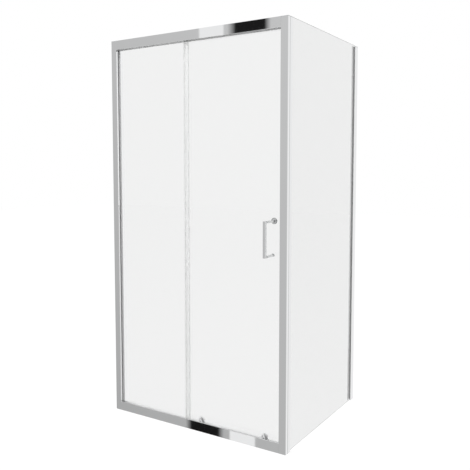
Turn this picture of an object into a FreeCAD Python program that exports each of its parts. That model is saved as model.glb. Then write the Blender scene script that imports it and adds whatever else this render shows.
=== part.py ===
import FreeCAD, Part
import os
import Sketcher

# Framed corner shower enclosure: a fixed pane and a sliding door across the front, and a
# fixed side pane. Millimetres. The origin is the foot of the front left corner, on the
# tray: +X runs along the front to the right, +Y goes into the shower, +Z is up.

DRIVING_SIZES = (
    # the enclosure
    ("Width", 1000, "front, from the left wall to the side of the right stile"),
    ("Depth", 800, "side, from the front faces to the back wall"),
    ("Height", 1900, "tray to the top of the frame"),
    ("Wall", 1.6, "wall thickness of the extrusions"),
    ("LeftFace", 32, "face of the left stile"),
    ("RightFace", 35, "face of the right stile"),
    ("RailFace", 45, "face of the top and bottom rails"),
    ("FrameDepth", 50, "front face to the back of the frame"),
    ("StileReturn", 10, "return of the left stile in front of its gasket"),
    ("SeatX", 21, "bottom of the glass pocket in the left stile"),
    ("CapThickness", 2, "plate of the plastic end caps"),
    # glass
    ("Glass", 5, "pane thickness"),
    ("Arris", 0.5, "ground edge of the panes"),
    ("FixedFront", 18.5, "front of the fixed pane"),
    ("FixedRight", 464, "free edge of the fixed pane"),
    ("DoorFront", 31, "front of the door pane"),
    ("DoorLeft", 435, "left edge of the door pane"),
    ("DoorWidth", 525, "door pane"),
    ("DoorFoot", 12, "lower edge of the door pane"),
    ("DoorTop", 1888, "upper edge of the door pane"),
    ("SideRecess", 2, "side pane behind the side of the stile"),
    ("SideFoot", 5, "lower edge of the side pane"),
    ("SideTop", 1902, "upper edge of the side pane"),
    # corner and side profiles
    ("StileDepth", 19, "depth of the right stile"),
    ("PostEnd", 41, "back of the corner post's outer face"),
    ("PostProud", 1, "corner post outside the side of the stile"),
    ("PostInner", 984, "inner face of the corner post"),
    ("SideFace", 37, "outer face of the side wall profile"),
    ("SideSection", 22, "thickness of the side wall profile"),
    ("SideGasket", 10, "gasket of the side pane in its wall profile"),
    # tracks and rollers
    ("TrackRib", 42.2, "front of the upper track rib"),
    ("TrackTop", 1866, "top of the upper track rib"),
    ("HookRib", 41.7, "front of the lower track rib"),
    ("HookFoot", 24, "foot of the lower track rib"),
    ("RollerGap", 351, "between the left and right rollers"),
    ("HubTop", 1872, "height of the upper hubs"),
    ("HubFoot", 37, "height of the lower hubs"),
    ("WheelGap", 34, "between the two wheels of a carriage"),
    ("WheelRadius", 12, "flange of an upper wheel"),
    ("RollRadius", 10, "rolling radius of an upper wheel"),
    ("LowerRadius", 9, "flange of a lower wheel"),
    ("LowerRoll", 7, "rolling radius of a lower wheel"),
    ("RunGap", 0.3, "between a wheel and its rib"),
    ("DoorTravel", 385, "travel of the door"),
    # handle
    ("HandleX", 914, "centre of the handle"),
    ("HandleLow", 873, "lower end of the handle"),
    ("HandleHigh", 1034, "upper end of the handle"),
    ("HandleReach", 48, "handle in front of the frame"),
    ("HandleBar", 12, "bar of the handle"),
    ("HandleArm", 10, "height of the handle's arms"),
    ("KnobRadius", 14, "inner knob"),
    # fixing
    ("HolePitch", 520, "between the wall holes"),
    ("HoleFoot", 170, "lowest wall hole"),
    ("HoleRadius", 3, "wall holes"),
)

document = FreeCAD.newDocument("shower_enclosure")


class Size:
    """A length that carries its value and the sheet cells that it is worked out from."""

    def __init__(self, value, text=None):
        self.value = float(value)
        self.text = text if text else repr(self.value)
        self.bound = text is not None

    def combine(self, other, sign, value):
        bound = self.bound or other.bound
        return Size(value, f"({self.text} {sign} {other.text})" if bound else None)

    def __add__(self, other):
        other = as_size(other)
        return self.combine(other, "+", self.value + other.value)

    def __sub__(self, other):
        other = as_size(other)
        return self.combine(other, "-", self.value - other.value)

    def __mul__(self, other):
        other = as_size(other)
        return self.combine(other, "*", self.value * other.value)

    def __truediv__(self, other):
        other = as_size(other)
        return self.combine(other, "/", self.value / other.value)

    def __radd__(self, other):
        return as_size(other) + self

    def __rsub__(self, other):
        return as_size(other) - self

    def __rmul__(self, other):
        return as_size(other) * self

    def __neg__(self):
        return as_size(0) - self


def as_size(number):
    return number if isinstance(number, Size) else Size(number)


class Cells:
    """The driving dimensions, each a named cell of the sheet."""

    def __init__(self, rows):
        self.sheet = document.addObject("Spreadsheet::Sheet", "Sizes")
        self.values = {}
        for row, (name, value, meaning) in enumerate(rows, 1):
            self.sheet.set(f"A{row}", meaning)
            self.sheet.set(f"B{row}", str(value))
            self.sheet.setAlias(f"B{row}", name)
            self.values[name] = value

    def __getattr__(self, name):
        return Size(self.values[name], f"Sizes.{name}")


cell = Cells(DRIVING_SIZES)
document.recompute()

wall = cell.Wall
width = cell.Width
depth = cell.Depth
height = cell.Height
frame_depth = cell.FrameDepth
left_face = cell.LeftFace
right_start = width - cell.RightFace
frame_top = height - cell.CapThickness
fixed_back = cell.FixedFront + cell.Glass
door_back = cell.DoorFront + cell.Glass
door_right = cell.DoorLeft + cell.DoorWidth
door_middle = cell.DoorLeft + cell.DoorWidth / 2
roller_x = {"left": door_middle - cell.RollerGap / 2, "right": door_middle + cell.RollerGap / 2}
side_outer = width - cell.SideRecess
side_inner = side_outer - cell.Glass

# ---------------------------------------------------------------------------------------
# sketches and features


def bind(thing, path, size):
    """Ties a property of a document object to the sheet, where the size comes from it."""
    if size.bound:
        thing.setExpression(path, size.text)


def start(label):
    body = document.addObject("PartDesign::Body", label)
    body.Label = label
    return body


def place(body, x=0, y=0, z=0):
    x, y, z = as_size(x), as_size(y), as_size(z)
    body.Placement = FreeCAD.Placement(FreeCAD.Vector(x.value, y.value, z.value), FreeCAD.Rotation())
    for axis, size in zip("xyz", (x, y, z)):
        bind(body, f"Placement.Base.{axis}", size)


def sketch_on(body, role, x=0, y=0, z=0, flip=False):
    """A sketch on an origin plane, moved by x, y and z along the sketch's own axes."""
    sketch = body.newObject("Sketcher::SketchObject", body.Label + "_sketch")
    plane = [feature for feature in body.Origin.OriginFeatures if feature.Role == role][0]
    sketch.AttachmentSupport = [(plane, "")]
    sketch.MapMode = "FlatFace"
    x, y, z = as_size(x), as_size(y), as_size(z)
    turn = FreeCAD.Rotation(FreeCAD.Vector(0, 0, 1), 180 if flip else 0)
    base = FreeCAD.Vector(x.value, y.value, z.value)
    sketch.AttachmentOffset = FreeCAD.Placement(base, turn)
    for axis, size in zip("xyz", (x, y, z)):
        bind(sketch, f"AttachmentOffset.Base.{axis}", size)
    return sketch


def pin_point(sketch, index, point, x, y):
    """Fixes a point of a sketch at x, y with dimensions that follow the sheet."""
    for kind, axis, size in (("DistanceX", -2, as_size(x)), ("DistanceY", -1, as_size(y))):
        if size.value == 0:
            sketch.addConstraint(Sketcher.Constraint("PointOnObject", index, point, axis))
        else:
            limit = Sketcher.Constraint(kind, -1, 1, index, point, size.value)
            number = sketch.addConstraint(limit)
            bind(sketch, f"Constraints[{number}]", size)


def draw_loop(sketch, corners):
    """A closed outline of straight lines through the corners."""
    first = sketch.GeometryCount
    points = [FreeCAD.Vector(as_size(x).value, as_size(y).value, 0) for x, y in corners]
    count = len(points)
    for index in range(count):
        line = Part.LineSegment(points[index], points[(index + 1) % count])
        sketch.addGeometry(line, False)
    for index, (x, y) in enumerate(corners):
        following = first + (index + 1) % count
        sketch.addConstraint(Sketcher.Constraint("Coincident", first + index, 2, following, 1))
        pin_point(sketch, first + index, 1, x, y)


def draw_box(sketch, x_low, y_low, x_high, y_high):
    draw_loop(sketch, [(x_low, y_low), (x_high, y_low), (x_high, y_high), (x_low, y_high)])


def draw_circle(sketch, x, y, radius):
    x, y, radius = as_size(x), as_size(y), as_size(radius)
    centre = FreeCAD.Vector(x.value, y.value, 0)
    circle = Part.Circle(centre, FreeCAD.Vector(0, 0, 1), radius.value)
    index = sketch.addGeometry(circle, False)
    number = sketch.addConstraint(Sketcher.Constraint("Radius", index, radius.value))
    bind(sketch, f"Constraints[{number}]", radius)
    pin_point(sketch, index, 3, x, y)


def draw_arch(sketch, centre_y, foot_y, radius):
    """A half circle about (0, centre_y) on straight sides that stand on foot_y."""
    centre_y, foot_y, radius = as_size(centre_y), as_size(foot_y), as_size(radius)
    middle, low, reach = centre_y.value, foot_y.value, radius.value
    first = sketch.GeometryCount
    circle = Part.Circle(FreeCAD.Vector(0, middle, 0), FreeCAD.Vector(0, 0, 1), reach)
    sketch.addGeometry(Part.ArcOfCircle(circle, 0, 3.141592653589793), False)
    corners = [(-reach, middle), (-reach, low), (reach, low), (reach, middle)]
    points = [FreeCAD.Vector(x, y, 0) for x, y in corners]
    for index in range(3):
        sketch.addGeometry(Part.LineSegment(points[index], points[index + 1]), False)
    for index in range(4):
        following = first + (index + 1) % 4
        joint = Sketcher.Constraint("Coincident", first + index, 2, following, 1)
        sketch.addConstraint(joint)
    pin_point(sketch, first, 3, 0, centre_y)
    pin_point(sketch, first, 1, radius, centre_y)
    level = sketch.addConstraint(Sketcher.Constraint("DistanceY", -1, 1, first, 2, middle))
    bind(sketch, f"Constraints[{level}]", centre_y)
    pin_point(sketch, first + 1, 2, -radius, foot_y)
    pin_point(sketch, first + 2, 2, radius, foot_y)


def sweep_profile(body, kind, sketch, length, reverse=False, both=False):
    feature = body.newObject(kind, body.Label + "_feature")
    feature.Profile = sketch
    length = as_size(length)
    feature.Length = length.value
    bind(feature, "Length", length)
    feature.Reversed = reverse
    feature.SideType = "Symmetric" if both else "One side"
    body.Tip = feature
    return feature


def pad(body, sketch, length, reverse=False, both=False):
    return sweep_profile(body, "PartDesign::Pad", sketch, length, reverse, both)


def pocket(body, sketch, length, reverse=False, both=False):
    return sweep_profile(body, "PartDesign::Pocket", sketch, length, reverse, both)


def revolve(body, sketch, axis="V_Axis"):
    feature = body.newObject("PartDesign::Revolution", body.Label + "_turned")
    feature.Profile = sketch
    feature.ReferenceAxis = (sketch, [axis])
    feature.Angle = 360
    body.Tip = feature
    return feature


def dress(body, kind, base, names, size):
    """A fillet or chamfer on the named edges of the base feature."""
    feature = body.newObject(kind, body.Label + "_edges")
    feature.Base = (base, names)
    path = "Radius" if kind.endswith("Fillet") else "Size"
    size = as_size(size)
    setattr(feature, path, size.value)
    bind(feature, path, size)
    body.Tip = feature
    return feature


def edges_where(feature, wanted):
    """The names of the feature's edges of which both ends pass the test."""
    document.recompute()
    names = []
    for number, edge in enumerate(feature.Shape.Edges, 1):
        ends = [vertex.Point for vertex in edge.Vertexes]
        if len(ends) == 2 and all(wanted(end) for end in ends):
            names.append(f"Edge{number}")
    return names


def near(value, size):
    return abs(value - as_size(size).value) < 0.01


def repeat(body, originals, axis_sketch, axis, pitch, count):
    """Copies features along a sketch axis, one pitch apart."""
    pattern = body.newObject("PartDesign::LinearPattern", body.Label + "_row")
    pattern.Originals = originals
    pattern.Direction = (axis_sketch, [axis])
    pattern.Mode = "Spacing"
    pattern.Offset = as_size(pitch).value
    bind(pattern, "Offset", as_size(pitch))
    pattern.Occurrences = count
    body.Tip = pattern
    return pattern


def extrude_up(label, corners, low, high, hollows=()):
    """A vertical extrusion of an X, Y section between two heights."""
    body = start(label)
    sketch = sketch_on(body, "XY_Plane", z=low)
    draw_loop(sketch, corners)
    for hollow in hollows:
        draw_loop(sketch, hollow)
    pad(body, sketch, as_size(high) - low)
    return body


def extrude_along(label, corners, left, right):
    """A horizontal extrusion of a Y, Z section between two places along the front."""
    body = start(label)
    sketch = sketch_on(body, "YZ_Plane", z=left)
    draw_loop(sketch, corners)
    pad(body, sketch, as_size(right) - left)
    return body


def turned(label, corners, x=0, y=0, z=0):
    """A piece turned about a line along Y through its place; corners are (radius, y)."""
    body = start(label)
    sketch = sketch_on(body, "XY_Plane")
    draw_loop(sketch, corners)
    revolve(body, sketch)
    place(body, x, y, z)
    return body


# ---------------------------------------------------------------------------------------
# frame: extruded profiles


def drill_wall_holes(body, role, x):
    """Four fixing holes up a wall channel, one pitch apart."""
    sketch = sketch_on(body, role, z=0)
    draw_circle(sketch, x, cell.HoleFoot, cell.HoleRadius)
    return sketch


def make_wall_channels():
    """U channels screwed to the walls, over which the wall profiles slide."""
    flange = cell.SeatX - wall - 2.4
    left = extrude_up(
        "wall_channel_left",
        [
            (0, wall),
            (flange, wall),
            (flange, wall * 2),
            (wall, wall * 2),
            (wall, frame_depth - wall * 2),
            (flange, frame_depth - wall * 2),
            (flange, frame_depth - wall),
            (0, frame_depth - wall),
        ],
        0,
        frame_top,
    )
    holes = drill_wall_holes(left, "YZ_Plane", frame_depth / 2)
    cut = pocket(left, holes, wall * 4, both=True)
    repeat(left, [cut], holes, "V_Axis", cell.HolePitch, 4)

    low_x = width - cell.SideSection + wall
    high_x = width - wall
    mouth = depth - 14
    side = extrude_up(
        "wall_channel_side",
        [
            (low_x, mouth),
            (low_x + wall, mouth),
            (low_x + wall, depth - wall),
            (high_x - wall, depth - wall),
            (high_x - wall, mouth),
            (high_x, mouth),
            (high_x, depth),
            (low_x, depth),
        ],
        0,
        frame_top,
    )
    holes = sketch_on(side, "XZ_Plane", z=-depth)
    draw_circle(holes, width - cell.SideSection / 2, cell.HoleFoot, cell.HoleRadius)
    cut = pocket(side, holes, wall * 4, both=True)
    repeat(side, [cut], holes, "V_Axis", cell.HolePitch, 4)


def left_stile_section():
    """Telescopic wall stile: open to the wall, with a pocket for the fixed pane."""
    seat = cell.SeatX
    lip = cell.StileReturn
    back = cell.DoorFront
    return [
        (0, 0),
        (left_face, 0),
        (left_face, lip),
        (seat, lip),
        (seat, back),
        (left_face, back),
        (left_face, frame_depth),
        (0, frame_depth),
        (0, frame_depth - wall),
        (left_face - wall, frame_depth - wall),
        (left_face - wall, back + wall),
        (seat - wall, back + wall),
        (seat - wall, lip - wall),
        (left_face - wall, lip - wall),
        (left_face - wall, wall),
        (0, wall),
    ]


def make_stiles():
    extrude_up("left_stile", left_stile_section(), 0, frame_top)

    deep = cell.StileDepth
    right = extrude_up(
        "right_stile",
        [(right_start, 0), (width, 0), (width, deep), (right_start, deep)],
        0,
        frame_top,
        hollows=[
            [
                (right_start + wall, wall),
                (width - wall, wall),
                (width - wall, deep - wall),
                (right_start + wall, deep - wall),
            ]
        ],
    )
    drill_corner_holes(right, deep - wall / 2)


def corner_post_section():
    """Outer boundary of the corner post, with the slot for the side pane at its back."""
    inner = cell.PostInner
    proud = width + cell.PostProud
    slot_in = side_inner - 2.5
    slot_out = side_outer + 0.3
    return [
        (inner, cell.StileDepth),
        (proud, cell.StileDepth),
        (proud, cell.PostEnd),
        (slot_out, cell.PostEnd),
        (slot_out, cell.StileDepth + 8),
        (slot_in, cell.StileDepth + 8),
        (slot_in, frame_depth),
        (inner, frame_depth),
    ]


def make_corner_post():
    """Hollow post behind the right stile: it holds the side pane and the strike."""
    inner = cell.PostInner + wall
    outer = width + cell.PostProud - wall
    slot_in = side_inner - 2.5 - wall
    shelf = cell.StileDepth + 8 - wall
    post = extrude_up(
        "corner_post",
        corner_post_section(),
        0,
        frame_top,
        hollows=[
            [
                (inner, cell.StileDepth + wall),
                (outer, cell.StileDepth + wall),
                (outer, shelf),
                (slot_in, shelf),
                (slot_in, frame_depth - wall),
                (inner, frame_depth - wall),
            ]
        ],
    )
    drill_corner_holes(post, cell.StileDepth + wall / 2)


CORNER_SCREW_X = 992
CORNER_SCREW_FOOT = 110
CORNER_SCREW_PITCH = 840


def drill_corner_holes(body, y):
    """Three screw holes through the wall at y, along Y."""
    sketch = sketch_on(body, "XZ_Plane", z=-y)
    draw_circle(sketch, CORNER_SCREW_X, CORNER_SCREW_FOOT, 1.6)
    cut = pocket(body, sketch, wall * 2, both=True)
    repeat(body, [cut], sketch, "V_Axis", CORNER_SCREW_PITCH, 3)


def side_profile_section():
    """Wall profile of the side pane: pocket to the front, open to the wall behind."""
    low_x = width - cell.SideSection
    front = depth - cell.SideFace
    seat = front + 20
    gasket = side_inner - cell.SideGasket
    lip = width - wall
    return [
        (width, front),
        (width, depth),
        (lip, depth),
        (lip, seat + wall),
        (gasket - wall, seat + wall),
        (gasket - wall, front + wall),
        (low_x + wall, front + wall),
        (low_x + wall, depth),
        (low_x, depth),
        (low_x, front),
        (gasket, front),
        (gasket, seat),
        (lip, seat),
        (lip, front),
    ]


PORT_FRONT = 3.8
PORT_DROP = 2.2
PORT_OUTER = 2.3
PORT_INNER = 1.25
PORT_BACK = {"top": 41, "bottom": 36.5}
top_port_z = height - wall - PORT_DROP
bottom_port_z = wall + PORT_DROP
rail_end = cell.PostInner


def add_screw_ports(rail, side, z):
    """Round screw ports along a rail, joined to its web."""
    sketch = sketch_on(rail, "YZ_Plane", z=left_face)
    for y in (PORT_FRONT, PORT_BACK[side]):
        draw_circle(sketch, y, z, PORT_OUTER)
        draw_circle(sketch, y, z, PORT_INNER)
    pad(rail, sketch, rail_end - left_face)


def cope_right_end(rail, low, high):
    """Cuts the front of a rail back so that its end goes in behind the right stile."""
    sketch = sketch_on(rail, "XY_Plane", z=as_size(high) + 1)
    draw_box(sketch, right_start, -1, rail_end + 1, cell.StileDepth)
    pocket(rail, sketch, as_size(high) - low + 2)


GLAZING_FRONT = 12.5
GLAZING_BACK = 25
FIN = 1.4


def make_top_rail():
    """Head rail: fascia, glazing fins for the fixed pane and a ribbed track behind."""
    foot = height - cell.RailFace
    web = height - wall
    fin_foot = foot + 17
    track = cell.TrackTop - 4
    rib = cell.TrackRib
    inside = frame_depth - wall
    front, back = GLAZING_FRONT, GLAZING_BACK
    rail = extrude_along(
        "top_rail",
        [
            (0, foot),
            (4, foot),
            (4, foot + wall),
            (wall, foot + wall),
            (wall, web),
            (front, web),
            (front, fin_foot),
            (front + FIN, fin_foot),
            (front + FIN, web),
            (back, web),
            (back, fin_foot),
            (back + FIN, fin_foot),
            (back + FIN, web),
            (inside, web),
            (inside, track + wall),
            (rib + 2, track + wall),
            (rib + 2, cell.TrackTop),
            (rib, cell.TrackTop),
            (rib, track),
            (inside, track),
            (inside, foot + 3),
            (frame_depth, foot + 3),
            (frame_depth, height),
            (0, height),
        ],
        left_face,
        rail_end,
    )
    ribbed = rail.Tip
    edges = edges_where(ribbed, lambda end: near(end.z, cell.TrackTop))
    dress(rail, "PartDesign::Fillet", ribbed, edges_along_x(ribbed, edges), 0.9)
    add_screw_ports(rail, "top", top_port_z)
    cope_right_end(rail, foot, height)


def edges_along_x(feature, names):
    """The names among these of edges that run the length of a rail."""
    lengths = {name: feature.Shape.getElement(name).Length for name in names}
    return [name for name in names if lengths[name] > 100]


def make_bottom_rail():
    """Sill rail: fascia, glazing fins and a hooked rib that the lower wheels run under."""
    face = cell.RailFace
    fin_top = 22
    hook = cell.HookRib
    hook_top = cell.HookFoot + 4
    inside = frame_depth - wall
    front, back = GLAZING_FRONT, GLAZING_BACK
    rail = extrude_along(
        "bottom_rail",
        [
            (0, 0),
            (frame_depth, 0),
            (frame_depth, hook_top + wall),
            (hook, hook_top + wall),
            (hook, cell.HookFoot),
            (hook + wall, cell.HookFoot),
            (hook + wall, hook_top),
            (inside, hook_top),
            (inside, wall),
            (back + FIN, wall),
            (back + FIN, fin_top),
            (back, fin_top),
            (back, wall),
            (front + FIN, wall),
            (front + FIN, fin_top),
            (front, fin_top),
            (front, wall),
            (wall, wall),
            (wall, face - wall),
            (4, face - wall),
            (4, face),
            (0, face),
        ],
        left_face,
        rail_end,
    )
    add_screw_ports(rail, "bottom", bottom_port_z)
    cope_right_end(rail, 0, face)


def make_end_caps():
    """Plastic plates that close the tops of the two stiles, the post and the wall profile."""
    front = depth - cell.SideFace
    low_x = width - cell.SideSection
    gasket = side_inner - cell.SideGasket
    body = start("profile_end_caps")
    outlines = [
        [(0, 0), (left_face, 0), (left_face, frame_depth), (0, frame_depth)],
        [(right_start, 0), (width, 0), (width, cell.StileDepth - 0.1), (right_start, cell.StileDepth - 0.1)],
        corner_post_section(),
        [
            (low_x, front),
            (gasket, front),
            (gasket, front + 20),
            (width - wall, front + 20),
            (width - wall, front),
            (width, front),
            (width, depth),
            (low_x, depth),
        ],
    ]
    for outline in outlines:
        sketch = sketch_on(body, "XY_Plane", z=frame_top)
        draw_loop(sketch, outline)
        pad(body, sketch, cell.CapThickness)


# ---------------------------------------------------------------------------------------
# glass, gaskets and seals


def pane(label, x_low, x_high, y_low, y_high, low, high):
    """A pane of toughened glass with ground edges."""
    corners = [(x_low, y_low), (x_high, y_low), (x_high, y_high), (x_low, y_high)]
    body = extrude_up(label, corners, low, high)
    dress(body, "PartDesign::Chamfer", body.Tip, edges_where(body.Tip, lambda end: True), cell.Arris)
    return body


GLAZED_FOOT = 8
GLAZED_TOP = 1890


def make_fixed_pane():
    pane(
        "fixed_glass",
        cell.SeatX + 1,
        cell.FixedRight,
        cell.FixedFront,
        fixed_back,
        GLAZED_FOOT,
        GLAZED_TOP,
    )
    seat = cell.SeatX
    face = left_face - 0.6
    lip = cell.StileReturn
    front = cell.FixedFront
    extrude_up(
        "fixed_gasket_front",
        [(seat, lip), (face, lip), (face, front - 3), (face - 2.5, front), (seat, front)],
        GLAZED_FOOT,
        GLAZED_TOP,
        hollows=[[(seat + 2, lip + 2), (face - 2, lip + 2), (face - 3.5, front - 2), (seat + 2, front - 2)]],
    )
    extrude_up(
        "fixed_gasket_back",
        [(seat, fixed_back), (face, fixed_back), (face, cell.DoorFront), (seat, cell.DoorFront)],
        GLAZED_FOOT,
        GLAZED_TOP,
        hollows=[[(seat + 2, 25), (face - 2, 25), (face - 2, 29.5), (seat + 2, 29.5)]],
    )


def glazing_strip(label, mouth, glass_edge, outer):
    """A U gasket between the glazing fins of a rail, round the edge of the fixed pane."""
    inner_front = GLAZING_FRONT + FIN
    return extrude_along(
        label,
        [
            (inner_front, mouth),
            (cell.FixedFront, mouth),
            (cell.FixedFront, glass_edge),
            (fixed_back, glass_edge),
            (fixed_back, mouth),
            (GLAZING_BACK, mouth),
            (GLAZING_BACK, outer),
            (inner_front, outer),
        ],
        left_face,
        cell.FixedRight - 11,
    )


def make_edge_trim():
    """Clear edge profile on the fixed pane's free edge, with a lip towards the door."""
    left = cell.FixedRight - 10.5
    right = cell.FixedRight + 3
    front = cell.FixedFront - 1.2
    back = fixed_back + 1.2
    body = extrude_up(
        "fixed_edge_trim",
        [
            (left, front),
            (right, front),
            (right, back),
            (left, back),
            (left, fixed_back),
            (cell.FixedRight, fixed_back),
            (cell.FixedRight, cell.FixedFront),
            (left, cell.FixedFront),
        ],
        GLAZED_FOOT,
        GLAZED_TOP,
    )
    # the lip stops short of the rails, so that the lower caps of the door pass it
    sketch = sketch_on(body, "XY_Plane", z=75)
    draw_loop(sketch, [(right - 4, back), (right - 2.6, back), (right - 3.4, 30.3), (right - 4.1, 30.3)])
    pad(body, sketch, 1765)


def make_side_pane():
    front = depth - cell.SideFace
    gasket = side_inner - cell.SideGasket
    pane(
        "side_glass",
        side_inner,
        side_outer,
        cell.StileDepth + 9,
        front + 19,
        cell.SideFoot,
        cell.SideTop,
    )
    back = frame_depth - 0.5
    extrude_up(
        "side_gasket_post",
        [
            (side_inner - 2.5, cell.StileDepth + 9),
            (side_inner, cell.StileDepth + 9),
            (side_inner, back),
            (side_inner - 2.5, back),
        ],
        cell.SideFoot,
        frame_top,
    )
    extrude_up(
        "side_gasket_wall",
        [
            (gasket, front + 0.4),
            (side_inner, front + 0.4),
            (side_inner, front + 19),
            (gasket, front + 19),
        ],
        cell.SideFoot,
        frame_top,
        hollows=[
            [
                (gasket + 1.6, front + 2),
                (side_inner - 1.6, front + 2),
                (side_inner - 1.6, front + 17),
                (gasket + 1.6, front + 17),
            ]
        ],
    )


SEAL_FOOT = 30
SEAL_TOP = 1865


def make_door_seals():
    """Snap-on seals of the door pane: a wiping fin behind and a magnet in front."""
    front = cell.DoorFront - 1.1
    back = door_back + 1.1
    edge = cell.DoorLeft
    extrude_up(
        "door_trailing_seal",
        [
            (edge + 9, front),
            (edge + 9, cell.DoorFront),
            (edge, cell.DoorFront),
            (edge, door_back),
            (edge + 9, door_back),
            (edge + 9, back),
            (edge - 2, back),
            (edge - 2, front),
            (edge, front),
            (edge - 2, 24.9),
            (edge - 0.8, 24.6),
            (edge + 1.6, front),
        ],
        SEAL_FOOT,
        SEAL_TOP,
    )
    edge = door_right
    nose = cell.PostInner - 3.8
    extrude_up(
        "door_magnet_seal",
        [
            (edge - 10, front),
            (nose, front),
            (nose, back),
            (edge - 10, back),
            (edge - 10, door_back),
            (edge, door_back),
            (edge, cell.DoorFront),
            (edge - 10, cell.DoorFront),
        ],
        SEAL_FOOT,
        SEAL_TOP,
        hollows=[
            [
                (nose - 8, front + 1.2),
                (nose - 1.2, front + 1.2),
                (nose - 1.2, back - 1.2),
                (nose - 8, back - 1.2),
            ]
        ],
    )
    extrude_up(
        "door_magnet",
        [
            (nose - 7.8, front + 1.4),
            (nose - 1.4, front + 1.4),
            (nose - 1.4, back - 1.4),
            (nose - 7.8, back - 1.4),
        ],
        SEAL_FOOT,
        SEAL_TOP,
    )
    post = cell.PostInner
    extrude_up(
        "strike_magnet",
        [(post - 3.5, front), (post, front), (post, back), (post - 3.5, back)],
        20,
        1880,
    )


# ---------------------------------------------------------------------------------------
# door pane, handle and knob


def handle_heights():
    half = cell.HandleArm / 2
    return (cell.HandleLow + half, cell.HandleHigh - half)


def make_door_pane():
    body = pane(
        "door_glass",
        cell.DoorLeft,
        door_right,
        cell.DoorFront,
        door_back,
        cell.DoorFoot,
        cell.DoorTop,
    )
    sketch = sketch_on(body, "XZ_Plane", z=-(cell.DoorFront + cell.Glass / 2))
    for x in roller_x.values():
        draw_circle(sketch, x, cell.HubTop, 5.2)
        draw_circle(sketch, x, cell.HubFoot, 5.2)
    for z in handle_heights():
        draw_circle(sketch, cell.HandleX, z, 3.5)
    pocket(body, sketch, cell.Glass * 2, both=True)


def make_handle():
    """D handle of square bar with mitred corners, bolted through the door pane."""
    bar = cell.HandleBar
    arm = cell.HandleArm
    nose = -cell.HandleReach
    foot = cell.DoorFront - 1
    low, high = cell.HandleLow, cell.HandleHigh
    body = start("handle_bar")
    sketch = sketch_on(body, "YZ_Plane", z=cell.HandleX)
    draw_loop(
        sketch,
        [
            (nose, low),
            (foot, low),
            (foot, low + arm),
            (nose + bar, low + arm),
            (nose + bar, high - arm),
            (foot, high - arm),
            (foot, high),
            (nose, high),
        ],
    )
    grip = pad(body, sketch, bar, both=True)
    at_glass = edges_where(grip, lambda end: near(end.y, foot))
    eased = [name for name in edges_where(grip, lambda end: True) if name not in at_glass]
    dress(body, "PartDesign::Chamfer", grip, eased, 0.5)
    holes = sketch_on(body, "XZ_Plane", z=-foot)
    for z in handle_heights():
        draw_circle(holes, cell.HandleX, z, 2.5)
    pocket(body, holes, 28, both=True)

    washers = start("handle_washers")
    bolts = start("handle_bolts")
    for z, tip in zip(handle_heights(), (5, 11)):
        for y_low, y_high in ((foot, cell.DoorFront), (door_back, door_back + 1)):
            ring(washers, 7, 3, y_low, y_high, cell.HandleX, z)
        spindle(bolts, 2.5, foot - 13, door_back + tip, cell.HandleX, z)
    # the lower bolt has a button head inside, the upper one goes on into the knob
    spindle(bolts, 5, door_back + 1, door_back + 4, cell.HandleX, handle_heights()[0])

    turned(
        "inner_knob",
        [
            (2.5, 0),
            (7, 0),
            (7, 4),
            (cell.KnobRadius - 1.5, 5),
            (cell.KnobRadius, 6.5),
            (cell.KnobRadius, 12.5),
            (cell.KnobRadius - 1.5, 14),
            (0, 14),
            (0, 10),
            (2.5, 10),
        ],
        cell.HandleX,
        door_back + 1,
        handle_heights()[1],
    )


def ring(body, outer, inner, y_low, y_high, x, z):
    """A turned ring about a line along Y through x, z."""
    sketch = sketch_on(body, "XY_Plane", x=x, z=z)
    draw_box(sketch, inner, y_low, outer, y_high)
    return revolve(body, sketch)


def spindle(body, radius, y_low, y_high, x, z):
    """A plain round bar about a line along Y through x, z."""
    return ring(body, radius, 0, y_low, y_high, x, z)


# ---------------------------------------------------------------------------------------
# upper carriages: two grooved wheels each, on the rib of the top rail

wheel_z = cell.TrackTop + cell.RollRadius
wheel_y = cell.TrackRib + 1
CARRIAGE_PLATE = 2.6
AXLE = 2.5
AXLE_BORE = 2.56


def wheel_places():
    """Each upper wheel's name and its place along the front."""
    for side, x in roller_x.items():
        yield f"{side}_1", x - cell.WheelGap / 2
        yield f"{side}_2", x + cell.WheelGap / 2


def grooved_wheel(label, bore, flange, roll, half_width, x, z, y):
    """A moulded wheel with a groove that straddles a rib."""
    groove = roll - cell.RunGap
    turned(
        label,
        [
            (bore, -half_width),
            (flange - 0.4, -half_width),
            (flange, 0.4 - half_width),
            (flange, -2.1),
            (groove, -1.4),
            (groove, 1.4),
            (flange, 2.1),
            (flange, half_width - 0.4),
            (flange - 0.4, half_width),
            (bore, half_width),
        ],
        x,
        y,
        z,
    )


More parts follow.
